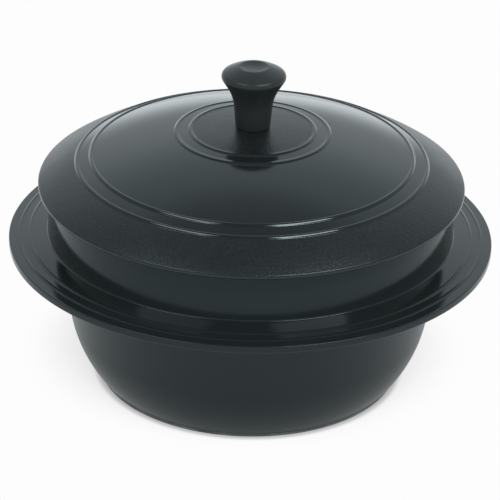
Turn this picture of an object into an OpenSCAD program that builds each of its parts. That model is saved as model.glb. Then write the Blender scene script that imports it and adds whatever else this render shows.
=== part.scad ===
// Round cast cauldron with a wide flange, a collar above it and a domed lid that lifts off.
// The origin is the middle of the underside of the foot, and the axis of the cauldron is +Z.
// Every piece is a body of revolution, so each module turns one outline about the axis.

/* [Bowl] */
// Outer radius of the flange, the widest part of the cauldron
flange_radius = 155; // [140:0.5:170]
// Distance from the flange's outer edge in to the wall, at the underside of the flange
flange_width = 28.8; // [25:0.2:31]
// Distance from there in to the edge of the flat foot
foot_inset = 29.2; // [24:0.2:34]
// Height of the short upright face round the foot
foot_height = 1.8; // [1:0.1:3]
// Chamfer round the underside of the foot
foot_chamfer = 0.4; // [0.2:0.1:0.8]
// Lean of the wall over the belly, outwards from upright, in degrees
wall_lean = 12; // [10:0.5:14]
// Radius of the outward-rounded belly between the foot and the leaning wall
belly_radius = 84.4; // [75:0.2:110]
// Thickness of the cast wall
wall_thickness = 3.5; // [2.5:0.1:4.5]
// Thickness of the floor
floor_thickness = 5; // [4:0.5:8]
// Radius of the inside corner between floor and wall
floor_corner = 12; // [6:1:20]

/* [Flange and collar] */
// Height of the flange's top face at its outer edge
flange_height = 95.6; // [90:0.1:101]
// Thickness of the flange at its outer edge
flange_thickness = 4.6; // [3:0.1:6]
// Rounding of the flange's outer edge
edge_round = 1.1; // [0.4:0.1:1.4]
// Rise of the flange's underside from its outer edge to the wall
underside_rise = 3; // [1:0.5:4]
// Fillet between the wall and the flange's underside
flange_fillet = 4; // [2:0.5:6]
// Distance of the outer raised ring's crest from the flange's outer edge
outer_ring_inset = 6.8; // [5:0.1:8.5]
// Distance of the inner raised ring's crest from the flange's outer edge
inner_ring_inset = 13.5; // [11.5:0.1:16]
// Width of each raised ring on the flange
flange_ring_width = 2.6; // [1.6:0.1:3]
// Height of each raised ring on the flange
flange_ring_height = 0.3; // [0.1:0.05:0.6]
// Rise of the flange's top from its outer edge to the outer ring
outer_rise = 0.75; // [0.3:0.05:1.2]
// Rise of the flange's top from the outer ring to the inner one
middle_rise = 1.05; // [0.5:0.05:1.6]
// Rise of the flange's top from the inner ring to the foot of the collar
inner_rise = 2.3; // [1.2:0.1:3]
// Distance from the flange's outer edge in to the foot of the collar
collar_inset = 24.8; // [22:0.2:26]
// Fillet between the flange's top and the collar
collar_fillet = 1.2; // [0.6:0.1:3]
// Lean of the collar, inwards from upright, in degrees
collar_lean = 2.5; // [0:0.5:5]
// Radius of the curve from the bowl to the collar, on the inside
bend_radius = 60; // [30:5:80]
// Height of the collar's top face, where the lid sits
collar_height = 134.5; // [120:0.5:150]
// Rounding of the collar's outer top edge
collar_round = 1.2; // [0.6:0.1:1.6]
// Chamfer of the collar's inner top edge
mouth_chamfer = 0.5; // [0.2:0.1:1]

/* [Lid] */
// Distance by which the lid's rim stands out past the collar
rim_overhang = 7.3; // [5:0.1:10]
// Depth of the upright face round the rim
rim_edge = 2.5; // [1.8:0.1:3]
// Radius of curvature of the dome
dome_radius = 272; // [240:1:310]
// Width of the steeper shoulder between the dome and the rim
shoulder_width = 24; // [18:0.5:30]
// Radius of curvature of the shoulder
shoulder_radius = 143.5; // [125:0.5:170]
// Thickness of the cast lid
lid_thickness = 3.2; // [2.5:0.1:3.6]
// Distance from the rim to the middle of the outer pair of raised rings
outer_pair_inset = 29.25; // [20:0.25:40]
// Distance between the crests of the outer pair
outer_pair_pitch = 9.1; // [7:0.1:12]
// Mean radius of the inner pair of raised rings
inner_pair_radius = 44.1; // [38:0.1:60]
// Distance between the crests of the inner pair
inner_pair_pitch = 9; // [7:0.1:12]
// Width of each raised ring
ring_width = 4.6; // [2.4:0.1:5.4]
// Height of each raised ring
ring_height = 0.8; // [0.4:0.1:1.4]
// Depth of the locating skirt below the seat
skirt_depth = 7.5; // [4:0.5:10]
// Thickness of the locating skirt
skirt_thickness = 3; // [2:0.1:4]
// Chamfer of the skirt's outer lower edge
skirt_chamfer = 0.6; // [0.2:0.1:1.2]
// Distance from the collar's outer top corner in to the edge of the lid's seat
seat_inset = 0.52; // [0.3:0.02:0.9]
// Radius of the boss under the crown
boss_radius = 12; // [10:0.5:16]
// Thickness of the lid at the boss
boss_thickness = 4.4; // [3.8:0.1:5.4]
// Width of the slope from the boss to the plain underside
boss_slope = 2; // [1:0.5:4]

/* [Knob] */
// Height of the knob over the crown
knob_height = 40.7; // [37:0.1:46]
// Radius of the knob's head at its widest
knob_radius = 20.4; // [18:0.1:23]
// Height of the widest part of the head over the crown
knob_widest = 33.8; // [30:0.1:36]
// Radius of the head's rounded edge
edge_radius = 3.2; // [2:0.1:4]
// Radius of curvature of the head's top, outside the dish
top_radius = 44.8; // [36:0.2:60]
// Radius of the rim of the dish on top
dish_radius = 9.2; // [7:0.1:11]
// Depth of the dish
dish_depth = 1.5; // [0.5:0.1:2]
// Radius of the stem at the lid
stem_foot_radius = 10.6; // [9:0.1:12]
// Lean of the stem's side, outwards from upright, in degrees
stem_taper = 6.5; // [3:0.5:9]
// Lean of the head's underside, outwards from upright, in degrees
flare_slope = 31.6; // [27:0.2:38]
// Radius of the hollow curve from the stem to the head's underside
flare_radius = 31; // [24:0.5:35]
// Chamfer round the foot of the stem
stem_chamfer = 0.6; // [0.2:0.1:1]
// Width of the slope from the flat under the knob down to the dome
seat_margin = 0.8; // [0.4:0.1:2]

/* [Knob fixing] */
// Thread diameter of the screw
thread_diameter = 6; // [5:0.5:8]
// Outer diameter of the threaded bush in the knob
insert_diameter = 10; // [10:0.1:12]
// Length of the screw inside the bush
thread_engagement = 12.6; // [10:0.2:16]
// Gap between the screw's tip and the bush's closed end
tip_gap = 1.4; // [0.6:0.1:3]
// Thickness of the bush's closed end
insert_end = 2; // [1:0.5:3]
// Diameter of the screw's head
head_diameter = 11; // [10:0.5:13]
// Height of the screw's head
head_height = 4; // [3:0.1:5]
// Outer diameter of the flat washer
washer_diameter = 16; // [13:0.5:18]
// Thickness of the flat washer
washer_thickness = 1.4; // [1:0.1:2]
// Outer diameter of the spring washer
spring_diameter = 11.4; // [10:0.2:12]
// Thickness of the spring washer
spring_thickness = 1.6; // [1.2:0.1:2]
// Width of the slit through the spring washer
slit_width = 1; // [0.6:0.1:1.6]
// Lean of the slit, in degrees from upright
slit_lean = 25; // [15:1:30]
// Length of each bar of the cross recess in the screw's head
recess_span = 5; // [4:0.5:6]
// Width of each bar of the cross recess
recess_width = 1.2; // [0.8:0.1:1.6]
// Depth of the cross recess
recess_depth = 2.2; // [1:0.1:2.5]

/* [Clearances] */
// Gap all round between the skirt and the inside of the collar
skirt_clearance = 0.9; // [0.4:0.1:1.2]
// Gap all round the screw in the holes of the lid and the washers
screw_clearance = 0.3; // [0.2:0.05:0.5]
// Gap all round between the screw and the bush, where the thread would be
thread_clearance = 0.05; // [0.02:0.01:0.1]

/* [Hidden] */
$fn = 144;
overcut = 1;

// Belly: an arc through the top of the foot, tangent to the leaning wall
wall_radius = flange_radius - flange_width;
foot_radius = wall_radius - foot_inset;
wall_foot_height = flange_height - flange_thickness;
wall_run = [sin(wall_lean), cos(wall_lean)];
wall_inward = [-cos(wall_lean), sin(wall_lean)];
foot_to_wall = [wall_radius - foot_radius, wall_foot_height - foot_height];
belly_reach = belly_radius + foot_to_wall * wall_inward;
belly_drop = foot_to_wall * wall_run - sqrt(pow(belly_radius, 2) - pow(belly_reach, 2));
belly_top = [wall_radius, wall_foot_height] - belly_drop * wall_run;
belly_centre = belly_top + belly_radius * wall_inward;
belly_end = asin((foot_height - belly_centre[1]) / belly_radius);
inner_belly = belly_radius - wall_thickness;
corner_rise = belly_centre[1] - floor_thickness - floor_corner;
corner_centre = [
    belly_centre[0] + sqrt(pow(inner_belly - floor_corner, 2) - pow(corner_rise, 2)),
    floor_thickness + floor_corner
];
corner_end = -asin(corner_rise / (inner_belly - floor_corner));
wall_inset = wall_thickness / cos(wall_lean);

// Flange: three slopes that rise inwards to the collar, with a raised ring where two of them meet
outer_ring = [flange_radius - outer_ring_inset, flange_height + outer_rise];
inner_ring = [flange_radius - inner_ring_inset, outer_ring[1] + middle_rise];
collar_foot = [flange_radius - collar_inset, inner_ring[1] + inner_rise];
flange_slopes = [collar_foot, inner_ring, outer_ring, [flange_radius, flange_height]];
underside_height = wall_foot_height + underside_rise;
flange_fillet_centre = [
    wall_at(underside_height - flange_fillet) + flange_fillet / cos(wall_lean),
    underside_height - flange_fillet
];

// Collar: a slightly leaning wall that stands on the flange
collar_radius = collar_at(collar_height);
collar_wall = wall_thickness / cos(collar_lean);
collar_run = [-sin(collar_lean), cos(collar_lean)];
flange_slope = atan2(inner_rise, collar_inset - inner_ring_inset);
flange_run = [cos(flange_slope), -sin(flange_slope)];
collar_fillet_centre = fillet_centre(collar_foot, flange_run, collar_run, collar_fillet);
collar_round_centre = [
    collar_at(collar_height - collar_round) - collar_round / cos(collar_lean),
    collar_height - collar_round
];

// Inside, the bowl's leaning wall and the collar's cross at bend_corner
bend_height = (collar_at(0) - collar_wall - wall_at(0) + wall_inset)
    / (tan(wall_lean) + tan(collar_lean));
bend_corner = [wall_at(bend_height) - wall_inset, bend_height];
bend_centre = fillet_centre(bend_corner, collar_run, -wall_run, bend_radius);

// Lid: a dome, then a tighter shoulder arc tangent to it, set so that the shoulder's underside
// runs out of the seat on the collar
rim_radius = collar_radius + rim_overhang;
shoulder_start = rim_radius - shoulder_width;
dome_tilt = asin(shoulder_start / dome_radius);
inner_shoulder = shoulder_radius - lid_thickness;
inner_dome = dome_radius - lid_thickness;
seat_outer = collar_radius - seat_inset;
shoulder_axis = shoulder_start - shoulder_radius * sin(dome_tilt);
shoulder_centre = [
    shoulder_axis,
    collar_height - sqrt(pow(inner_shoulder, 2) - pow(seat_outer - shoulder_axis, 2))
];
dome_centre = shoulder_centre[1] - (dome_radius - shoulder_radius) * cos(dome_tilt);
crown_height = dome_centre + dome_radius;
rim_height = lid_smooth(rim_radius);
rim_foot = rim_height - rim_edge;
rim_start = shoulder_axis + sqrt(pow(inner_shoulder, 2) - pow(rim_foot - shoulder_centre[1], 2));
skirt_foot = collar_height - skirt_depth;
skirt_outer = collar_radius - collar_wall - skirt_clearance;
skirt_inner = skirt_outer - skirt_thickness;
seat_flat = stem_foot_radius + seat_margin;
outer_pair_radius = rim_radius - outer_pair_inset;
ring_radii = [
    outer_pair_radius + outer_pair_pitch / 2,
    outer_pair_radius - outer_pair_pitch / 2,
    inner_pair_radius + inner_pair_pitch / 2,
    inner_pair_radius - inner_pair_pitch / 2
];

// Fixing, from the crown downwards, and the bush from the crown upwards
screw_hole = thread_diameter / 2 + screw_clearance;
boss_face = crown_height - boss_thickness;
washer_face = boss_face - washer_thickness;
spring_face = washer_face - spring_thickness;
insert_length = thread_engagement + tip_gap + insert_end;

// Knob, as heights over the crown. The side of the stem and the head's underside are two
// straight lines that cross at flare_corner, with a fillet of flare_radius between them.
edge_centre = [knob_radius - edge_radius, knob_widest];
slope_top = edge_centre + edge_radius * [cos(flare_slope), -sin(flare_slope)];
flare_corner_height = (stem_foot_radius - slope_top[0] + slope_top[1] * tan(flare_slope))
    / (tan(flare_slope) - tan(stem_taper));
flare_corner = [stem_foot_radius + flare_corner_height * tan(stem_taper), flare_corner_height];
flare_centre = fillet_centre(
    flare_corner, -[sin(stem_taper), cos(stem_taper)], [sin(flare_slope), cos(flare_slope)], flare_radius
);

// The head's top is an arc through the dish's rim that touches the rounded edge from outside it
dish_rim = [dish_radius, knob_height];
rim_chord = norm(dish_rim - edge_centre);
chord_run = (dish_rim - edge_centre) / rim_chord;
top_along = (pow(top_radius - edge_radius, 2) - pow(top_radius, 2) + pow(rim_chord, 2))
    / (2 * rim_chord);
top_across = sqrt(pow(top_radius - edge_radius, 2) - pow(top_along, 2));
top_centre = edge_centre + top_along * chord_run + top_across * [-chord_run[1], chord_run[0]];
edge_top = atan2(edge_centre[1] - top_centre[1], edge_centre[0] - top_centre[0]);
top_end = atan2(dish_rim[1] - top_centre[1], dish_rim[0] - top_centre[0]);
dish_curve = (pow(dish_radius, 2) + pow(dish_depth, 2)) / (2 * dish_depth);
dish_centre = knob_height - dish_depth + dish_curve;
dish_span = asin(dish_radius / dish_curve);

// Points along an arc about [cx, cz], from angle a to angle b in n steps
function arc(centre, r, a, b, n) =
    [for (i = [0:n]) let (t = a + (b - a) * i / n) centre + r * [cos(t), sin(t)]];

// Centre of a fillet of radius r at a corner whose sides leave it in the unit directions a and b
function fillet_centre(corner, a, b, r) = corner + (a + b) * r / abs(cross(a, b));

// Outer radius of the leaning wall at height z
function wall_at(z) = wall_radius + (z - wall_foot_height) * tan(wall_lean);

// Outer radius of the collar at height z
function collar_at(z) = collar_foot[0] - (z - collar_foot[1]) * tan(collar_lean);

// Height of the smooth lid over the base plane, at radius r
function lid_smooth(r) = r <= shoulder_start
    ? dome_centre + sqrt(pow(dome_radius, 2) - pow(r, 2))
    : shoulder_centre[1] + sqrt(pow(shoulder_radius, 2) - pow(r - shoulder_axis, 2));

// Height of a raised ring over the smooth face at distance d from its crest, a raised cosine
function ring_bump(d, width, height) = abs(d) >= width / 2
    ? 0
    : height * (1 + cos(360 * d / width)) / 2;

// Height of the lid's underside, at radius r
function lid_under(r) = r <= inner_dome * sin(dome_tilt)
    ? dome_centre + sqrt(pow(inner_dome, 2) - pow(r, 2))
    : shoulder_centre[1] + sqrt(pow(inner_shoulder, 2) - pow(r - shoulder_axis, 2));

// Stretch of plain lid between two radii, in n steps, with no end points
function plain_lid(from, to, n) =
    [for (i = [1:n - 1]) let (r = from + (to - from) * i / n) [r, lid_smooth(r)]];

// One raised ring of the lid about radius r, from outside to inside
function ring(r) = [
    for (i = [-6:6])
        let (d = -i * ring_width / 12)
            [r + d, lid_smooth(r + d) + ring_bump(d, ring_width, ring_height)]
];

// One raised ring of the flange about radius r, from outside to inside
function flange_ring(r) = [
    for (i = [-4:4])
        let (d = -i * flange_ring_width / 8)
            [r + d, lookup(r + d, flange_slopes) + ring_bump(d, flange_ring_width, flange_ring_height)]
];

module pot() {
    foot = [
        [0, 0],
        [foot_radius - foot_chamfer, 0],
        [foot_radius, foot_chamfer]
    ];
    belly = arc(belly_centre, belly_radius, belly_end, -wall_lean, 16);
    flange_under = arc(flange_fillet_centre, flange_fillet, 180 - wall_lean, 90, 6);
    flange_edge = concat(
        arc([flange_radius - edge_round, wall_foot_height + edge_round], edge_round, -90, 0, 6),
        arc([flange_radius - edge_round, flange_height - edge_round], edge_round, 0, 90, 6)
    );
    flange_top = concat(flange_ring(outer_ring[0]), flange_ring(inner_ring[0]));
    collar_base = arc(collar_fillet_centre, collar_fillet, 270 - flange_slope, 180 + collar_lean, 6);
    mouth = collar_height - mouth_chamfer;
    collar_top = concat(
        arc(collar_round_centre, collar_round, collar_lean, 90, 6),
        [
            [collar_radius - collar_wall + mouth_chamfer, collar_height],
            [collar_at(mouth) - collar_wall, mouth]
        ]
    );
    inside = concat(
        arc(bend_centre, bend_radius, collar_lean, -wall_lean, 8),
        arc(belly_centre, inner_belly, -wall_lean, corner_end, 14),
        arc(corner_centre, floor_corner, corner_end, -90, 8),
        [[0, floor_thickness]]
    );
    color("#2d3335")
        rotate_extrude()
            polygon(concat(foot, belly, flange_under, flange_edge, flange_top, collar_base,
                collar_top, inside));
}

module lid() {
    half = ring_width / 2;
    top = concat(
        [[rim_radius, rim_height]],
        plain_lid(rim_radius, ring_radii[0] + half, 8),
        ring(ring_radii[0]),
        plain_lid(ring_radii[0] - half, ring_radii[1] + half, 3),
        ring(ring_radii[1]),
        plain_lid(ring_radii[1] - half, ring_radii[2] + half, 12),
        ring(ring_radii[2]),
        plain_lid(ring_radii[2] - half, ring_radii[3] + half, 3),
        ring(ring_radii[3]),
        plain_lid(ring_radii[3] - half, seat_flat, 6),
        [[seat_flat, lid_smooth(seat_flat)], [stem_foot_radius, crown_height], [screw_hole, crown_height]]
    );
    inner_end = boss_radius + boss_slope;
    underside = concat(
        [[screw_hole, boss_face], [boss_radius, boss_face]],
        [for (i = [0:18]) let (r = inner_end + (skirt_inner - inner_end) * i / 18) [r, lid_under(r)]]
    );
    skirt = [
        [skirt_inner, skirt_foot],
        [skirt_outer - skirt_chamfer, skirt_foot],
        [skirt_outer, skirt_foot + skirt_chamfer],
        [skirt_outer, collar_height],
        [seat_outer, collar_height]
    ];
    overhang = [
        for (i = [1:4]) let (r = seat_outer + (rim_start - seat_outer) * i / 4) [r, lid_under(r)]
    ];
    color("#2f3638")
        rotate_extrude()
            polygon(concat(top, underside, skirt, overhang, [[rim_radius, rim_foot]]));
}

module knob() {
    stem = [
        [insert_diameter / 2, 0],
        [stem_foot_radius - stem_chamfer, 0],
        [stem_foot_radius, stem_chamfer]
    ];
    flare = arc(flare_centre, flare_radius, 180 - stem_taper, 180 - flare_slope, 8);
    edge = arc(edge_centre, edge_radius, -flare_slope, edge_top, 12);
    shoulder = arc(top_centre, top_radius, edge_top, top_end, 8);
    dish = arc([0, dish_centre], dish_curve, 270 + dish_span, 270, 8);
    pocket = [
        [0, insert_length],
        [insert_diameter / 2, insert_length]
    ];
    color("#24292a")
        translate([0, 0, crown_height])
            rotate_extrude()
                polygon(concat(stem, flare, edge, shoulder, dish, pocket));
}

module knob_insert() {
    bore = thread_diameter / 2 + thread_clearance;
    color("#b08d4a")
        translate([0, 0, crown_height])
            difference() {
                cylinder(d = insert_diameter, h = insert_length);
                translate([0, 0, -overcut])
                    cylinder(r = bore, h = insert_length - insert_end + overcut);
            }
}

module knob_screw() {
    head_rim = head_height / 2;
    recess_middle = spring_face - head_height + (recess_depth - overcut) / 2;
    color("#b9bcbe")
        difference() {
            union() {
                translate([0, 0, spring_face])
                    cylinder(d = thread_diameter, h = crown_height + thread_engagement - spring_face);
                translate([0, 0, spring_face - head_height])
                    pan_head(head_diameter / 2, head_height, head_rim);
            }
            for (turn = [0, 90])
                translate([0, 0, recess_middle])
                    rotate([0, 0, turn])
                        cube([recess_span, recess_width, recess_depth + overcut], center = true);
        }
}

// Head of a pan screw standing on its crown: radius, height and height of its rounded part
module pan_head(radius, height, rim) {
    rotate_extrude()
        polygon(concat(
            [[0, 0]],
            arc([radius - rim, rim], rim, -90, 0, 8),
            [[radius, height], [0, height]]
        ));
}

// Plain ring with its lower face at height z
module washer(outer, thickness, z) {
    translate([0, 0, z])
        difference() {
            cylinder(d = outer, h = thickness);
            translate([0, 0, -overcut])
                cylinder(r = screw_hole, h = thickness + 2 * overcut);
        }
}

module spring_washer() {
    color("#a9acae")
        difference() {
            washer(spring_diameter, spring_thickness, spring_face);
            translate([spring_diameter / 2, 0, spring_face + spring_thickness / 2])
                rotate([slit_lean, 0, 0])
                    cube([spring_diameter, slit_width, 3 * spring_thickness], center = true);
        }
}

module flat_washer() {
    color("#c3c6c8")
        washer(washer_diameter, washer_thickness, washer_face);
}

pot();
lid();
knob();
knob_insert();
knob_screw();
spring_washer();
flat_washer();
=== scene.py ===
"""A round cast cauldron: bowl with a ringed flange and a collar, and a domed lid with a knob."""

import math

import bpy
import numpy as np
from mathutils import Matrix, Vector


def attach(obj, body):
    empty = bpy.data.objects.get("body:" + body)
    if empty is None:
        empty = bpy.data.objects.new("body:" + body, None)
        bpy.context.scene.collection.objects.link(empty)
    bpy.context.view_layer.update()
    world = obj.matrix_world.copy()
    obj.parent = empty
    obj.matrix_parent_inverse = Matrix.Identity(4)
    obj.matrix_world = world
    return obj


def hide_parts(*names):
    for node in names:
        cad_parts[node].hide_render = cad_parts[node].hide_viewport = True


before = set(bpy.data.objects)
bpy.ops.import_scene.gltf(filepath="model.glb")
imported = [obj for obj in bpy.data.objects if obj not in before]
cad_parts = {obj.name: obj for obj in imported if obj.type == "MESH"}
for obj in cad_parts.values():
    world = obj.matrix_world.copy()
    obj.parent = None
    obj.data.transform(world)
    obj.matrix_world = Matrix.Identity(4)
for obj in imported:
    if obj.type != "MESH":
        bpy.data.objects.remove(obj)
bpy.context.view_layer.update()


# The pot: bowl, flange and collar, cast in aluminium in one piece and coated all over in a
# dark charcoal, semi-gloss finish. The casting is turned about +Z, and its foot rests on z = 0.
# Sizes are in mm, angles in degrees, and a point of an outline is (radius, height).
MM = 0.001
FLANGE_RADIUS, FLANGE_TOP, FLANGE_FOOT, EDGE_ROUND = 155.0, 95.6, 91.0, 0.6
UNDERSIDE_TOP, UNDERSIDE_FILLET = 94, 4
WALL_RADIUS, WALL_LEAN, WALL_THICK = 126.2, 12.0, 3.5
FOOT_RADIUS, FOOT_HEIGHT, FOOT_ROUND, BELLY_RADIUS = 97.0, 1.8, 0.4, 84.4
FLOOR_THICK, FLOOR_CORNER = 5.0, 12.0
OUTER_RING, INNER_RING = np.array([148.2, 96.35]), np.array([141.5, 97.4])
FLANGE_RING_WIDTH, FLANGE_RING_HEIGHT = 2.0, 0.3
COLLAR_FOOT, COLLAR_TOP, COLLAR_LEAN = np.array([130.2, 99.7]), 134.5, 2.5
COLLAR_FILLET, COLLAR_ROUND, MOUTH_ROUND = 1.2, 1.2, 0.5
BEND_RADIUS = 60.0


def arc(centre, radius, start, end, points):
    """Points along a circle about centre from angle start to end in degrees, in mm."""
    t = np.radians(np.linspace(start, end, points))
    return np.column_stack((centre[0] + radius * np.cos(t), centre[1] + radius * np.sin(t)))


def unit(x, z):
    """The direction (x, z) at length 1."""
    return np.array([x, z]) / math.hypot(x, z)


def fillet(corner, a, b, radius, points=7):
    """Arc that rounds a corner whose sides leave it in the directions a and b. It touches each
    side at radius / tan(half the angle between them) from the corner."""
    half = math.acos(np.clip(a @ b, -1, 1)) / 2
    centre = corner + (a + b) / np.hypot(*(a + b)) * radius / math.sin(half)
    first, last = (corner + side * radius / math.tan(half) - centre for side in (a, b))
    start = math.atan2(first[1], first[0])
    turn = (math.atan2(last[1], last[0]) - start + math.pi) % (2 * math.pi) - math.pi
    return arc(centre, radius, math.degrees(start), math.degrees(start + turn), points)


def rounded(corners, radii, points=7):
    """A polyline whose inner corners are replaced by fillets of the given radii."""
    corners = np.asarray(corners, float)
    bends = [fillet(at, unit(*(before - at)), unit(*(after - at)), r, points)
             for before, at, after, r in zip(corners[:-2], corners[1:-1], corners[2:], radii)]
    return np.vstack([corners[:1]] + bends + [corners[-1:]])


def filled(outline, longest):
    """The same outline with points added evenly along each side that is longer than longest."""
    steps = np.maximum(1, np.ceil(np.hypot(*np.diff(outline, axis=0).T) / longest)).astype(int)
    along = np.concatenate([i + np.arange(n) / n for i, n in enumerate(steps)] + [[len(steps)]])
    return np.column_stack([np.interp(along, np.arange(len(outline)), outline[:, k])
                            for k in (0, 1)])


def ring_bump(distance, width, height):
    """Height of a raised ring at a distance d from its crest: height (1 - u^2)^1.25, where u is
    2 d / width, and 0 past its width. The flanks are steep and the crest is round."""
    return height * np.maximum(1 - (2 * distance / width)**2, 0)**1.25


def sharpness(outline):
    """How tightly the outline turns outwards at each point, in 1/mm from 0 to 1: the angle
    turned there over half the length of the two sides that meet there."""
    into = outline - np.roll(outline, 1, axis=0)
    away = np.roll(into, -1, axis=0)
    turn = np.arctan2(into[:, 0] * away[:, 1] - into[:, 1] * away[:, 0], (into * away).sum(1))
    return np.clip(2 * turn / (np.hypot(*into.T) + np.hypot(*away.T)), 0, 1)


def turned(name, outline, around=320, crease=40):
    """Surface of revolution. Each point (r, z) of the closed outline, in mm and with the
    material on its left, becomes the ring (r cos a, r sin a, z); r = 0 gives a single pole.
    A point that coincides with the next is left out. The attribute edge keeps the outline's
    sharpness at each point."""
    outline = np.asarray(outline, float)
    outline = outline[np.hypot(*(np.roll(outline, -1, axis=0) - outline).T) > 1e-3]
    on_axis = outline[:, 0] < 1e-6
    a = 2 * np.pi * np.arange(around) / around
    count = np.where(on_axis, 1, around)
    first = np.concatenate(([0], np.cumsum(count)[:-1]))
    rows = first[:, None] + np.where(on_axis[:, None], 0, np.arange(around + 1) % around)
    ring = np.stack(np.broadcast_arrays(outline[:, :1] * np.cos(a), outline[:, :1] * np.sin(a),
                                        outline[:, 1:]), axis=-1)
    points = np.concatenate([r[:1] if pole else r for r, pole in zip(ring, on_axis)]) * MM
    low, high = rows, np.roll(rows, -1, axis=0)
    quads = np.stack((low[:, :-1], low[:, 1:], high[:, 1:], high[:, :-1]), axis=-1)
    next_pole = np.roll(on_axis, -1)
    faces = (quads[~on_axis & ~next_pole].reshape(-1, 4).tolist()
             + quads[on_axis & ~next_pole][..., [0, 2, 3]].reshape(-1, 3).tolist()
             + quads[~on_axis & next_pole][..., [0, 1, 2]].reshape(-1, 3).tolist())
    mesh = bpy.data.meshes.new(name)
    mesh.from_pydata(points.tolist(), [], faces)
    mesh.shade_smooth()
    mesh.set_sharp_from_angle(angle=math.radians(crease))
    mesh.attributes.new("edge", "FLOAT", "POINT").data.foreach_set(
        "value", np.repeat(sharpness(outline), count).astype(np.float32))
    piece = bpy.data.objects.new(name, mesh)
    bpy.context.scene.collection.objects.link(piece)
    return piece


def wall_at(z):
    """Outer radius of the leaning wall at height z."""
    return WALL_RADIUS + (z - FLANGE_FOOT) * math.tan(math.radians(WALL_LEAN))


def collar_at(z):
    """Outer radius of the collar at height z."""
    return COLLAR_FOOT[0] - (z - COLLAR_FOOT[1]) * math.tan(math.radians(COLLAR_LEAN))


def flange_at(r):
    """Height of the flange's top at radius r: three slopes, with a low ring where two meet."""
    slopes = np.array([COLLAR_FOOT, INNER_RING, OUTER_RING, (FLANGE_RADIUS, FLANGE_TOP)])
    rings = sum(ring_bump(r - crest[0], FLANGE_RING_WIDTH, FLANGE_RING_HEIGHT)
                for crest in (OUTER_RING, INNER_RING))
    return np.interp(r, *slopes.T) + rings


wall_run = unit(math.sin(math.radians(WALL_LEAN)), math.cos(math.radians(WALL_LEAN)))
collar_run = unit(-math.sin(math.radians(COLLAR_LEAN)), math.cos(math.radians(COLLAR_LEAN)))
inward = np.array([-wall_run[1], wall_run[0]])
to_wall = np.array([WALL_RADIUS - FOOT_RADIUS, FLANGE_FOOT - FOOT_HEIGHT])
reach = BELLY_RADIUS + to_wall @ inward
belly_top = (np.array([WALL_RADIUS, FLANGE_FOOT])
             - (to_wall @ wall_run - math.sqrt(BELLY_RADIUS**2 - reach**2)) * wall_run)
belly = belly_top + BELLY_RADIUS * inward
belly_end = math.degrees(math.asin((FOOT_HEIGHT - belly[1]) / BELLY_RADIUS))
inner = BELLY_RADIUS - WALL_THICK
rise = belly[1] - FLOOR_THICK - FLOOR_CORNER
corner = (belly[0] + math.sqrt((inner - FLOOR_CORNER)**2 - rise**2), FLOOR_THICK + FLOOR_CORNER)
corner_end = -math.degrees(math.asin(rise / (inner - FLOOR_CORNER)))
wall_inset = WALL_THICK / wall_run[1]
collar_wall = WALL_THICK / collar_run[1]
collar_radius = collar_at(COLLAR_TOP)
bend_z = ((collar_at(0) - collar_wall - wall_at(0) + wall_inset)
          / (math.tan(math.radians(WALL_LEAN)) + math.tan(math.radians(COLLAR_LEAN))))
bend = np.array([wall_at(bend_z) - wall_inset, bend_z])

WALL_END, MOUTH_START = 88, 131  # heights on the straight wall and collar, short of their fillets
TOP_START, TOP_END = 132, 153.6  # radii on the flange's top, just past the fillets at its ends
half_ring = FLANGE_RING_WIDTH / 2
ring_r = np.concatenate([crest[0] + np.linspace(-half_ring, half_ring, 21)
                         for crest in (OUTER_RING, INNER_RING)])
top_r = np.unique(np.concatenate((np.linspace(TOP_START + 0.4, TOP_END - 0.2, 22), ring_r)))[::-1]
pot_outline = np.vstack((
    [(0, 0)], arc((FOOT_RADIUS - FOOT_ROUND, FOOT_ROUND), FOOT_ROUND, -90, 0, 4),
    arc(belly, BELLY_RADIUS, belly_end, -WALL_LEAN, 48),
    rounded([(wall_at(WALL_END), WALL_END), (wall_at(UNDERSIDE_TOP), UNDERSIDE_TOP),
             (FLANGE_RADIUS, FLANGE_FOOT), (FLANGE_RADIUS, FLANGE_TOP),
             (TOP_END, flange_at(TOP_END))], [UNDERSIDE_FILLET, EDGE_ROUND, EDGE_ROUND])[1:],
    np.column_stack((top_r, flange_at(top_r))),
    rounded([(TOP_START, flange_at(TOP_START)), COLLAR_FOOT, (collar_radius, COLLAR_TOP),
             (collar_radius - collar_wall, COLLAR_TOP),
             (collar_at(MOUTH_START) - collar_wall, MOUTH_START)],
            [COLLAR_FILLET, COLLAR_ROUND, MOUTH_ROUND])[1:],
    fillet(bend, collar_run, -wall_run, BEND_RADIUS, 12),
    arc(belly, inner, -WALL_LEAN, corner_end, 40)[1:],
    arc(corner, FLOOR_CORNER, corner_end, -90, 12), [(0, FLOOR_THICK)]))
pot = turned("pot_casting", filled(pot_outline, 9))


WORN_LIGHTER, WORN_SMOOTHER, ROUGHNESS_SPREAD = 1.4, 0.5, 0.15
WEAR_SCALE, PATCH_SCALE, PEEL_SCALE = 220, 60, 160  # noise cells per metre
POT_PEEL, LID_PEEL, PLASTIC_PEEL = 0.000010, 0.000008, 0.000005  # metres


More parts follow.
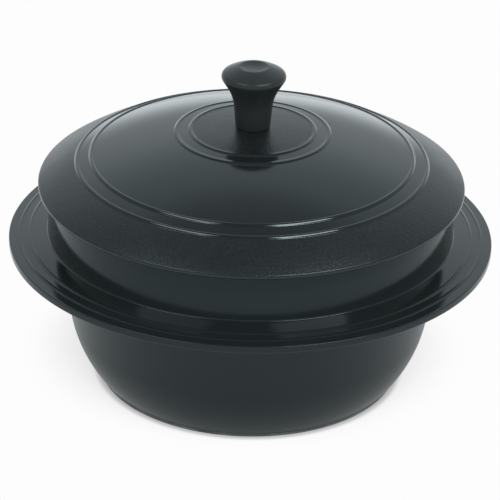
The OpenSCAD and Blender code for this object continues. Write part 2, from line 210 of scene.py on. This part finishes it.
def coating(name, colour, roughness, peel):
    """A dark base under a glossy skin, coated or moulded. One noise lifts the skin in slow
    orange peel by up to peel metres, another varies its roughness, and edges are worn lighter
    and smoother. Gives the material, its shader and its bump, whose Normal is free."""
    made = bpy.data.materials.new(name)
    made.use_nodes = True
    nodes, links = made.node_tree.nodes, made.node_tree.links
    shader = nodes["Principled BSDF"]
    place = nodes.new("ShaderNodeTexCoord")

    def noise(scale, detail):
        found = nodes.new("ShaderNodeTexNoise")
        found.inputs["Scale"].default_value = scale
        found.inputs["Detail"].default_value = detail
        links.new(place.outputs["Object"], found.inputs["Vector"])
        return found.outputs["Fac"]

    edge = nodes.new("ShaderNodeAttribute")
    edge.attribute_name = "edge"
    worn = nodes.new("ShaderNodeMath")
    worn.operation = "MULTIPLY"
    links.new(edge.outputs["Fac"], worn.inputs[0])
    links.new(noise(WEAR_SCALE, 4), worn.inputs[1])
    tone = nodes.new("ShaderNodeMix")
    tone.data_type = "RGBA"
    tone.inputs["A"].default_value = (*colour, 1)
    tone.inputs["B"].default_value = (*(c * WORN_LIGHTER for c in colour), 1)
    links.new(worn.outputs[0], tone.inputs["Factor"])
    links.new(tone.outputs["Result"], shader.inputs["Base Color"])

    rough = nodes.new("ShaderNodeMapRange")
    rough.inputs["To Min"].default_value = roughness * (1 - ROUGHNESS_SPREAD)
    rough.inputs["To Max"].default_value = roughness * (1 + ROUGHNESS_SPREAD)
    links.new(noise(PATCH_SCALE, 3), rough.inputs["Value"])
    smooth = nodes.new("ShaderNodeMath")
    smooth.operation = "MULTIPLY_ADD"
    smooth.inputs[1].default_value = -roughness * WORN_SMOOTHER
    links.new(worn.outputs[0], smooth.inputs[0])
    links.new(rough.outputs["Result"], smooth.inputs[2])
    links.new(smooth.outputs[0], shader.inputs["Roughness"])

    waves = nodes.new("ShaderNodeBump")
    waves.inputs["Strength"].default_value = 1
    waves.inputs["Distance"].default_value = peel
    links.new(noise(PEEL_SCALE, 1), waves.inputs["Height"])
    links.new(waves.outputs["Normal"], shader.inputs["Normal"])
    return made, shader, waves


COAT_TINT, GLOSS = (0.82, 1.0, 1.05), 0.12
POT_CHARCOAL, POT_IOR = (0.0120, 0.0154, 0.0163), 1.345
# Painted reflection: a lighter tone on the foot's lowest band stands in for the table mirrored
# there.
FOOT_REFLECTION_TONE, FOOT_REFLECTION_SCALE = (0.32, 0.345, 0.355), 90
FOOT_REFLECTION_FROM, FOOT_REFLECTION_TO = FOOT_HEIGHT + 0.5, FOOT_HEIGHT - 0.1
pot_coat, shader, _ = coating("charcoal_pot_coating", POT_CHARCOAL, GLOSS, POT_PEEL)
shader.inputs["IOR"].default_value = POT_IOR
shader.inputs["Specular Tint"].default_value = (*COAT_TINT, 1)
# The foot's underside and its lowest edge are painted lighter in uneven patches: a painted
# reflection of the white table that the foot's edge mirrors.
nodes, links = pot_coat.node_tree.nodes, pot_coat.node_tree.links
place = nodes.new("ShaderNodeTexCoord")
height = nodes.new("ShaderNodeSeparateXYZ")
low = nodes.new("ShaderNodeMapRange")
low.inputs["From Min"].default_value = FOOT_REFLECTION_FROM * MM
low.inputs["From Max"].default_value = FOOT_REFLECTION_TO * MM
uneven = nodes.new("ShaderNodeTexNoise")
uneven.inputs["Scale"].default_value = FOOT_REFLECTION_SCALE
uneven.inputs["Detail"].default_value = 4
foot_reflection_mask = nodes.new("ShaderNodeMath")
foot_reflection_mask.operation = "MULTIPLY"
painted_foot_reflection = nodes.new("ShaderNodeMix")
painted_foot_reflection.data_type = "RGBA"
painted_foot_reflection.inputs["B"].default_value = (*FOOT_REFLECTION_TONE, 1)
links.new(place.outputs["Object"], height.inputs[0])
links.new(height.outputs["Z"], low.inputs["Value"])
links.new(place.outputs["Object"], uneven.inputs["Vector"])
links.new(low.outputs["Result"], foot_reflection_mask.inputs[0])
links.new(uneven.outputs["Fac"], foot_reflection_mask.inputs[1])
links.new(foot_reflection_mask.outputs[0], painted_foot_reflection.inputs["Factor"])
links.new(shader.inputs["Base Color"].links[0].from_socket, painted_foot_reflection.inputs["A"])
links.new(painted_foot_reflection.outputs["Result"], shader.inputs["Base Color"])
pot.data.materials.append(pot_coat)
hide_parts("pot")
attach(pot, "pot_body")


# The lid: a thin cast dome with two pairs of raised rings, coated as the pot is. Its skirt drops
# inside the collar and its rim stands out past it. The band between the pairs is smooth, and the
# centre and the outer zone have a fine leather grain.
RIM_OVERHANG, RIM_EDGE, RIM_LOWER_ROUND, RIM_UPPER_ROUND = 7.3, 2.5, 1.1, 1.7
SHOULDER_WIDTH = 24
RIM_RADIUS = collar_radius + RIM_OVERHANG
SHOULDER_START = RIM_RADIUS - SHOULDER_WIDTH
DOME, SHOULDER, LID_THICK = 272.0, 143.5, 3.2
RINGS, RING_WIDTH = (RIM_RADIUS - 24.4, RIM_RADIUS - 33.5, 48.6, 39.4), 2.9
RING_HEIGHTS = (0.8, 0.8, 0.58, 0.58)
SEAT_INSET = 0.52
SKIRT_DEPTH, SKIRT_THICK, SKIRT_GAP, SKIRT_ROUNDS = 7.5, 3.0, 0.9, [0.5, 0.6, 0.3]
BOSS_RADIUS, BOSS_THICK, BOSS_SLOPE, SCREW_HOLE = 12.0, 4.4, 2, 3.3
CROWN_FLAT = 10.6  # radius of the flat that the knob stands on
tilt = math.asin(SHOULDER_START / DOME)
seat = collar_radius - SEAT_INSET
shoulder_r = SHOULDER_START - SHOULDER * math.sin(tilt)
shoulder_z = COLLAR_TOP - math.sqrt((SHOULDER - LID_THICK)**2 - (seat - shoulder_r)**2)
dome_z = shoulder_z - (DOME - SHOULDER) * math.cos(tilt)
CROWN = dome_z + DOME


def cap(r, sink):
    """Height of a dome of radius DOME that turns into a tighter shoulder, sink below the top."""
    r = np.asarray(r, float)
    dome = dome_z + np.sqrt(np.maximum((DOME - sink)**2 - r**2, 0))
    shoulder = shoulder_z + np.sqrt(np.maximum((SHOULDER - sink)**2 - (r - shoulder_r)**2, 0))
    return np.where(r <= (DOME - sink) * math.sin(tilt), dome, shoulder)


def ringed(r):
    """The dome's top with its four rings."""
    return cap(r, 0) + sum(ring_bump(r - at, RING_WIDTH, high)
                           for at, high in zip(RINGS, RING_HEIGHTS))


near = np.concatenate([np.linspace(at - RING_WIDTH / 2, at + RING_WIDTH / 2, 29) for at in RINGS])
top_r = np.unique(np.concatenate((np.linspace(11.4, RIM_RADIUS - 1, 70), near)))[::-1]
edge_r = RIM_RADIUS - 0.9
skirt_foot = COLLAR_TOP - SKIRT_DEPTH
skirt_outer = collar_radius - collar_wall - SKIRT_GAP
skirt_inner = skirt_outer - SKIRT_THICK
rim_top = float(cap(RIM_RADIUS, 0))
rim_foot = rim_top - RIM_EDGE
rim_start = shoulder_r + math.sqrt((SHOULDER - LID_THICK)**2 - (rim_foot - shoulder_z)**2)
under_r = np.linspace(BOSS_RADIUS + BOSS_SLOPE, skirt_inner, 30)
over_r = np.linspace(seat, rim_start - 0.3, 8)
lid_outline = np.vstack((
    [(SCREW_HOLE, CROWN - BOSS_THICK), (BOSS_RADIUS, CROWN - BOSS_THICK)],
    np.column_stack((under_r, cap(under_r, LID_THICK))),
    rounded([(skirt_inner, skirt_foot + 2), (skirt_inner, skirt_foot), (skirt_outer, skirt_foot),
             (skirt_outer, COLLAR_TOP), (seat, COLLAR_TOP)], SKIRT_ROUNDS, 4),
    np.column_stack((over_r, cap(over_r, LID_THICK)))[1:],
    rounded([(rim_start, rim_foot), (RIM_RADIUS, rim_foot), (RIM_RADIUS, rim_top),
             (edge_r, cap(edge_r, 0))], [RIM_LOWER_ROUND, RIM_UPPER_ROUND], 8)[:-1],
    np.column_stack((top_r, ringed(top_r))), [(CROWN_FLAT, CROWN), (SCREW_HOLE, CROWN)]))
lid = turned("lid_casting", lid_outline)


GRAIN_SCALE, GRAIN_DEPTH = 750, 0.00010
GRAIN_BEND, BEND_SCALE = 0.9, 0.7  # in cells, and as a share of the grain's scale
# Painted light and shade in the grain: cells painted lighter, cell walls painted darker as shade
# in the valleys.
CELL_PAINTED_LIGHT, WALL_PAINTED_SHADE, WALL_AT = 1.5, 0.5, 0.8


def grained(made, shader, waves, scale, height):
    """Adds a leather grain to a coating: the cell walls of a noise-bent Voronoi pattern of the
    given scale per metre, height metres deep. Its tone is painted light and shade: the cells are
    painted lighter, and the walls are painted darker as the shade in the grain's valleys."""
    nodes, links = made.node_tree.nodes, made.node_tree.links
    place = nodes.new("ShaderNodeTexCoord")
    bend = nodes.new("ShaderNodeTexNoise")
    bend.inputs["Scale"].default_value = scale * BEND_SCALE
    bend.inputs["Detail"].default_value = 2
    links.new(place.outputs["Object"], bend.inputs["Vector"])
    shifted = nodes.new("ShaderNodeVectorMath")
    shifted.operation = "MULTIPLY_ADD"
    shifted.inputs[1].default_value = (GRAIN_BEND / scale,) * 3
    links.new(bend.outputs["Color"], shifted.inputs[0])
    links.new(place.outputs["Object"], shifted.inputs[2])
    cells = nodes.new("ShaderNodeTexVoronoi")
    cells.feature = "SMOOTH_F1"
    cells.inputs["Scale"].default_value = scale
    links.new(shifted.outputs[0], cells.inputs["Vector"])
    grain = nodes.new("ShaderNodeBump")
    grain.invert = True
    grain.inputs["Strength"].default_value = 1
    grain.inputs["Distance"].default_value = height
    links.new(cells.outputs["Distance"], grain.inputs["Height"])
    links.new(grain.outputs["Normal"], waves.inputs["Normal"])
    painted_valley_shade = nodes.new("ShaderNodeMapRange")
    painted_valley_shade.inputs["From Max"].default_value = WALL_AT
    painted_valley_shade.inputs["To Min"].default_value = CELL_PAINTED_LIGHT
    painted_valley_shade.inputs["To Max"].default_value = WALL_PAINTED_SHADE
    links.new(cells.outputs["Distance"], painted_valley_shade.inputs["Value"])
    shaded = nodes.new("ShaderNodeMix")
    shaded.data_type = "RGBA"
    shaded.blend_type = "MULTIPLY"
    shaded.inputs["Factor"].default_value = 1
    links.new(shader.inputs["Base Color"].links[0].from_socket, shaded.inputs["A"])
    links.new(painted_valley_shade.outputs["Result"], shaded.inputs["B"])
    links.new(shaded.outputs["Result"], shader.inputs["Base Color"])


LID_CHARCOAL, GRAIN_ROUGHNESS = (0.0094, 0.0115, 0.0122), 0.34
for name, roughness, index in (("charcoal_lid_coating", GLOSS, 1.45),
                               ("charcoal_lid_grain", GRAIN_ROUGHNESS, 1.40)):
    lid_coat, shader, waves = coating(name, LID_CHARCOAL, roughness, LID_PEEL)
    shader.inputs["IOR"].default_value = index
    shader.inputs["Specular Tint"].default_value = (*COAT_TINT, 1)
    lid.data.materials.append(lid_coat)
grained(lid_coat, shader, waves, GRAIN_SCALE, GRAIN_DEPTH)

# The grain lies on the lid's top, outside the outer pair of rings and inside the inner pair.
FACING_UP = 0.3  # the least upward part of a face's normal on the top
middle, facing = (np.empty(3 * len(lid.data.polygons), np.float32) for _ in range(2))
lid.data.polygons.foreach_get("center", middle)
lid.data.polygons.foreach_get("normal", facing)
face_r = np.hypot(middle[0::3], middle[1::3]) / MM
on_grain = (face_r > RINGS[0] + RING_WIDTH / 2) | (face_r < RINGS[3] - RING_WIDTH / 2)
on_top = facing[2::3] > FACING_UP
lid.data.polygons.foreach_set("material_index", (on_grain & on_top).astype(np.int32))
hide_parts("lid")
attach(lid, "lid_body")


# The knob: moulded from a heat-resistant plastic in one shape, a tapered stem that flares into a
# round head with a shallow dish on top. It stands on the flat of the lid's crown.
KNOB_TOP, KNOB_RADIUS, KNOB_WIDEST, KNOB_EDGE = 40.7, 20.4, 33.8, 3.2
STEM_FOOT, STEM_TAPER, FLARE_SLOPE, FLARE_RADIUS = 11.1, 4.8, 31.6, 31.0
TOP_RADIUS, DISH_RADIUS, DISH_DEPTH = 44.8, 9.2, 1.5
STEM_ROUND, BORE_RADIUS, BORE_DEPTH = 0.6, 5, 16
RIM_SOFTENING = 0.6, 0.8  # degrees left open on either side of the dish's edge
slope, taper = math.radians(FLARE_SLOPE), math.radians(STEM_TAPER)
edge = np.array([KNOB_RADIUS - KNOB_EDGE, KNOB_WIDEST])
slope_top = edge + KNOB_EDGE * np.array([math.cos(slope), -math.sin(slope)])
turn_z = ((STEM_FOOT - slope_top[0] + slope_top[1] * math.tan(slope))
          / (math.tan(slope) - math.tan(taper)))
turn = np.array([STEM_FOOT + turn_z * math.tan(taper), turn_z])
dish_rim = np.array([DISH_RADIUS, KNOB_TOP])
chord = dish_rim - edge
length = np.hypot(*chord)
along = ((TOP_RADIUS - KNOB_EDGE)**2 - TOP_RADIUS**2 + length**2) / (2 * length)
across = math.sqrt((TOP_RADIUS - KNOB_EDGE)**2 - along**2)
top = edge + (along * chord + across * np.array([-chord[1], chord[0]])) / length
edge_end, top_end = (math.degrees(math.atan2(*(p - top)[::-1])) for p in (edge, dish_rim))
dish_curve = (DISH_RADIUS**2 + DISH_DEPTH**2) / (2 * DISH_DEPTH)
dish_span = math.degrees(math.asin(DISH_RADIUS / dish_curve))
dish_z = KNOB_TOP - DISH_DEPTH + dish_curve
knob_outline = np.vstack((
    [(BORE_RADIUS, 0)],
    arc((STEM_FOOT - STEM_ROUND, STEM_ROUND), STEM_ROUND, -90, -STEM_TAPER, 5),
    fillet(turn, unit(-math.sin(taper), -math.cos(taper)), unit(math.sin(slope), math.cos(slope)),
           FLARE_RADIUS, 24),
    arc(edge, KNOB_EDGE, -FLARE_SLOPE, edge_end, 24),
    arc(top, TOP_RADIUS, edge_end, top_end - RIM_SOFTENING[0], 14)[1:],
    arc((0, dish_z), dish_curve, 270 + dish_span - RIM_SOFTENING[1], 270, 14),
    [(0, BORE_DEPTH), (BORE_RADIUS, BORE_DEPTH)])) + [0, CROWN]
knob = turned("knob_moulding", filled(knob_outline, 6), around=192)
PLASTIC, PLASTIC_ROUGHNESS, PLASTIC_IOR = (0.0235, 0.0265, 0.0272), 0.33, 1.3
knob_stuff, shader, _ = coating("black_moulded_plastic", PLASTIC, PLASTIC_ROUGHNESS,
                                PLASTIC_PEEL)
shader.inputs["IOR"].default_value = PLASTIC_IOR
shader.inputs["Specular Tint"].default_value = (*COAT_TINT, 1)
knob.data.materials.append(knob_stuff)
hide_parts("knob")
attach(knob, "lid_body")


# The fixing under the crown: a stainless pan-head screw with a spring washer and a flat washer,
# driven from below into a threaded brass bush that is moulded into the knob.
MARKS_SCALE, MARKS_DEPTH, MARKS_SPREAD = 4000, 0.000008, 0.4


def metal(name, colour, roughness):
    """Turned metal: turning marks, a noise of the distance from the axis and the height alone,
    in its roughness and its bump."""
    made = bpy.data.materials.new(name)
    made.use_nodes = True
    nodes, links = made.node_tree.nodes, made.node_tree.links
    shader = nodes["Principled BSDF"]
    shader.inputs["Base Color"].default_value = (*colour, 1)
    shader.inputs["Metallic"].default_value = 1
    place = nodes.new("ShaderNodeTexCoord")
    split = nodes.new("ShaderNodeSeparateXYZ")
    flat = nodes.new("ShaderNodeVectorMath")
    flat.operation = "MULTIPLY"
    flat.inputs[1].default_value = (1, 1, 0)
    radius = nodes.new("ShaderNodeVectorMath")
    radius.operation = "LENGTH"
    section = nodes.new("ShaderNodeCombineXYZ")
    links.new(place.outputs["Object"], split.inputs[0])
    links.new(place.outputs["Object"], flat.inputs[0])
    links.new(flat.outputs[0], radius.inputs[0])
    links.new(radius.outputs["Value"], section.inputs["X"])
    links.new(split.outputs["Z"], section.inputs["Z"])
    marks = nodes.new("ShaderNodeTexNoise")
    marks.inputs["Scale"].default_value = MARKS_SCALE
    links.new(section.outputs[0], marks.inputs["Vector"])
    rough = nodes.new("ShaderNodeMapRange")
    rough.inputs["To Min"].default_value = roughness * (1 - MARKS_SPREAD)
    rough.inputs["To Max"].default_value = roughness * (1 + MARKS_SPREAD)
    links.new(marks.outputs["Fac"], rough.inputs["Value"])
    links.new(rough.outputs["Result"], shader.inputs["Roughness"])
    lines = nodes.new("ShaderNodeBump")
    lines.inputs["Strength"].default_value = 1
    lines.inputs["Distance"].default_value = MARKS_DEPTH
    links.new(marks.outputs["Fac"], lines.inputs["Height"])
    links.new(lines.outputs["Normal"], shader.inputs["Normal"])
    return made


steel = metal("stainless_fixing_steel", (0.56, 0.57, 0.58), 0.28)
brass = metal("turned_bush_brass", (0.62, 0.45, 0.2), 0.3)
for node, stuff in (("knob_screw", steel), ("spring_washer", steel), ("flat_washer", steel),
                    ("knob_insert", brass)):
    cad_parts[node].data.materials.clear()
    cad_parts[node].data.materials.append(stuff)


# The studio's table: a plain white sheet under the cauldron. The camera and reflections see it
# at white, apart from the soft shadow that the cauldron keeps on it.
TABLE_SIZE, WHITE, REFLECTED_TINT = 2.4, 0.982, (0.92, 0.98, 1.0)
bpy.ops.mesh.primitive_plane_add(size=TABLE_SIZE, location=(0, 0, 0))
table = bpy.context.object
table.name = "table_top"
sheet = bpy.data.materials.new("white_table")
sheet.use_nodes = True
nodes, links = sheet.node_tree.nodes, sheet.node_tree.links
matt = nodes["Principled BSDF"]
matt.inputs["Base Color"].default_value = (0.8, 0.8, 0.8, 1)
matt.inputs["Roughness"].default_value = 0.9
matt.inputs["Specular IOR Level"].default_value = 0
seen = nodes.new("ShaderNodeLightPath")
glow = nodes.new("ShaderNodeEmission")


SHADOW_FULL_AT = 0.3


def shadow(distance, open_at, darkest, lean=0, side=0):
    """Brightness of the table by how much is open of what lies within distance metres of a
    point and on the upper side of a normal. The normal leans by lean degrees towards the front,
    and from there round to the right by side degrees. At SHADOW_FULL_AT open it is darkest, and
    from open_at on it is 1."""
    near_by = nodes.new("ShaderNodeAmbientOcclusion")
    near_by.samples = 16
    near_by.inputs["Distance"].default_value = distance
    tilted = nodes.new("ShaderNodeCombineXYZ")
    tilted.inputs["X"].default_value = math.sin(math.radians(lean)) * math.sin(math.radians(side))
    tilted.inputs["Y"].default_value = -math.sin(math.radians(lean)) * math.cos(math.radians(side))
    tilted.inputs["Z"].default_value = math.cos(math.radians(lean))
    links.new(tilted.outputs[0], near_by.inputs["Normal"])
    shade = nodes.new("ShaderNodeMapRange")
    shade.interpolation_type = "SMOOTHSTEP"
    shade.inputs["From Min"].default_value = SHADOW_FULL_AT
    shade.inputs["From Max"].default_value = open_at
    shade.inputs["To Min"].default_value = darkest
    links.new(near_by.outputs["AO"], shade.inputs["Value"])
    return shade.outputs["Result"]


contact = nodes.new("ShaderNodeMath")
contact.operation = "MULTIPLY"
links.new(shadow(0.06, open_at=0.9, darkest=0.68, lean=52, side=6), contact.inputs[0])
links.new(shadow(0.006, open_at=0.85, darkest=0.55), contact.inputs[1])
blend = nodes.new("ShaderNodeMix")
links.new(seen.outputs["Is Camera Ray"], blend.inputs["Factor"])
links.new(shadow(0.2, open_at=1.0, darkest=0.2, lean=40), blend.inputs["A"])
links.new(contact.outputs[0], blend.inputs["B"])
links.new(blend.outputs["Result"], glow.inputs["Strength"])
white = nodes.new("ShaderNodeMix")
white.data_type = "RGBA"
white.inputs["A"].default_value = (*REFLECTED_TINT, 1)
white.inputs["B"].default_value = (WHITE, WHITE, WHITE, 1)
links.new(seen.outputs["Is Camera Ray"], white.inputs["Factor"])
links.new(white.outputs["Result"], glow.inputs["Color"])
either = nodes.new("ShaderNodeMath")
either.operation = "MAXIMUM"
any_of = nodes.new("ShaderNodeMath")
any_of.operation = "MAXIMUM"
choose = nodes.new("ShaderNodeMixShader")
links.new(seen.outputs["Is Camera Ray"], either.inputs[0])
links.new(seen.outputs["Is Glossy Ray"], either.inputs[1])
links.new(either.outputs[0], any_of.inputs[0])
links.new(seen.outputs["Is Transmission Ray"], any_of.inputs[1])
links.new(any_of.outputs[0], choose.inputs["Fac"])
links.new(matt.outputs[0], choose.inputs[1])
links.new(glow.outputs[0], choose.inputs[2])
links.new(choose.outputs[0], nodes["Material Output"].inputs["Surface"])
table.data.materials.append(sheet)


# The studio's light: white walls all round that are brightest low down behind the cauldron and
# darker overhead and on the camera's side, and a softbox on either side of the camera.
WALL_TINT = (0.93, 1.0, 1.03)
world = bpy.data.worlds.new("studio")
bpy.context.scene.world = world
world.use_nodes = True
nodes, links = world.node_tree.nodes, world.node_tree.links
walls = nodes["Background"]
way = nodes.new("ShaderNodeTexCoord")
split = nodes.new("ShaderNodeSeparateXYZ")
links.new(way.outputs["Generated"], split.inputs[0])


def maths(operation, *values):
    """A Math node over numbers and sockets."""
    node = nodes.new("ShaderNodeMath")
    node.operation = operation
    for socket, value in zip(node.inputs, values):
        if isinstance(value, (int, float)):
            socket.default_value = value
        else:
            links.new(value, socket)
    return node.outputs[0]


def level(source, *stops):
    """A brightness that follows source, which runs from -1 to 1, through (place, value) stops."""
    curve = nodes.new("ShaderNodeValToRGB")
    curve.color_ramp.interpolation = "EASE"
    brightest = max(value for _, value in stops)
    ramp = curve.color_ramp.elements
    while len(ramp) < len(stops):
        ramp.new(0.5)
    for stop, (place, value) in zip(ramp, stops):
        stop.position = (place + 1) / 2
        stop.color = (*[value / brightest] * 3, 1)
    links.new(maths("MULTIPLY_ADD", source, 0.5, 0.5), curve.inputs["Fac"])
    return maths("MULTIPLY", curve.outputs["Color"], brightest)


def mixed(factor, one, other):
    """A blend from one value to the other."""
    return maths("ADD", maths("MULTIPLY", one, maths("SUBTRACT", 1.0, factor)),
                 maths("MULTIPLY", other, factor))


up = split.outputs["Z"]
# heading is 1 straight behind the cauldron and -1 on the camera's side. A direction's length in
# plan is kept just above 0, so that nothing is divided by 0 straight overhead.
plan_length = maths("SQRT", maths("SUBTRACT", 1.0001, maths("MULTIPLY", up, up)))
heading = maths("DIVIDE", split.outputs["Y"], plan_length)
behind = level(up, (0, 1.5), (0.08, 1.2), (0.14, 1.0), (0.2, 0.92), (0.47, 1.18), (0.77, 0.97),
               (0.92, 0.5), (0.97, 0.3))
aside = level(up, (0, 0.62), (0.5, 0.57), (0.97, 0.28))
before = level(up, (0, 0.9), (0.5, 0.6), (0.7, 0.3), (0.97, 0.3))
studio = mixed(level(heading, (0, 0), (0.6, 0.18), (0.8, 0.82), (1, 1)),
               mixed(level(heading, (-1, 1), (0, 0)), aside, before), behind)
path = nodes.new("ShaderNodeLightPath")
links.new(mixed(path.outputs["Is Camera Ray"], studio, WHITE), walls.inputs["Strength"])
tint = nodes.new("ShaderNodeMix")
tint.data_type = "RGBA"
tint.inputs["A"].default_value = (*WALL_TINT, 1)
tint.inputs["B"].default_value = (1, 1, 1, 1)
links.new(path.outputs["Is Camera Ray"], tint.inputs["Factor"])
links.new(tint.outputs["Result"], walls.inputs["Color"])

SOFTBOX_UP, SOFTBOX_FAR, SOFTBOX_SIZE = math.radians(54), 2.0, (1.1, 0.5)
AIMED_AT = 0.13  # metres above the table
for around, power in ((-55, 9.5), (45, 20.0)):  # degrees to the right of the front, and watts
    lamp = bpy.data.lights.new("softbox", "AREA")
    lamp.shape = "RECTANGLE"
    lamp.size, lamp.size_y = SOFTBOX_SIZE
    lamp.energy = power
    box = bpy.data.objects.new("softbox", lamp)
    turn = math.radians(around)
    away = Vector((math.sin(turn) * math.cos(SOFTBOX_UP), -math.cos(turn) * math.cos(SOFTBOX_UP),
                   math.sin(SOFTBOX_UP)))
    box.location = away * SOFTBOX_FAR + Vector((0, 0, AIMED_AT))
    box.rotation_euler = away.to_track_quat("Z", "Y").to_euler()
    bpy.context.scene.collection.objects.link(box)


# The camera: a long lens in front of the cauldron that looks down on it, placed and turned as
# the photograph's ellipses say. Its focal length was fitted in pixels of the 500-pixel picture.
FOCAL_PIXELS, SENSOR, PICTURE = 2989.7, 36, 500
CAMERA_PLACE, CAMERA_DOWN, CAMERA_ROLL = (0, -1.7259, 0.9476), 26.614, 1.287
lens = bpy.data.cameras.new("camera")
lens.sensor_width = SENSOR
lens.lens = FOCAL_PIXELS * SENSOR / PICTURE
lens.clip_end = 50
camera = bpy.data.objects.new("camera", lens)
camera.matrix_world = (Matrix.Translation(CAMERA_PLACE)
                       @ Matrix.Rotation(math.radians(90 - CAMERA_DOWN), 4, "X")
                       @ Matrix.Rotation(math.radians(CAMERA_ROLL), 4, "Z"))
bpy.context.scene.collection.objects.link(camera)
bpy.context.scene.camera = camera
bpy.context.scene.view_settings.view_transform = "Standard"
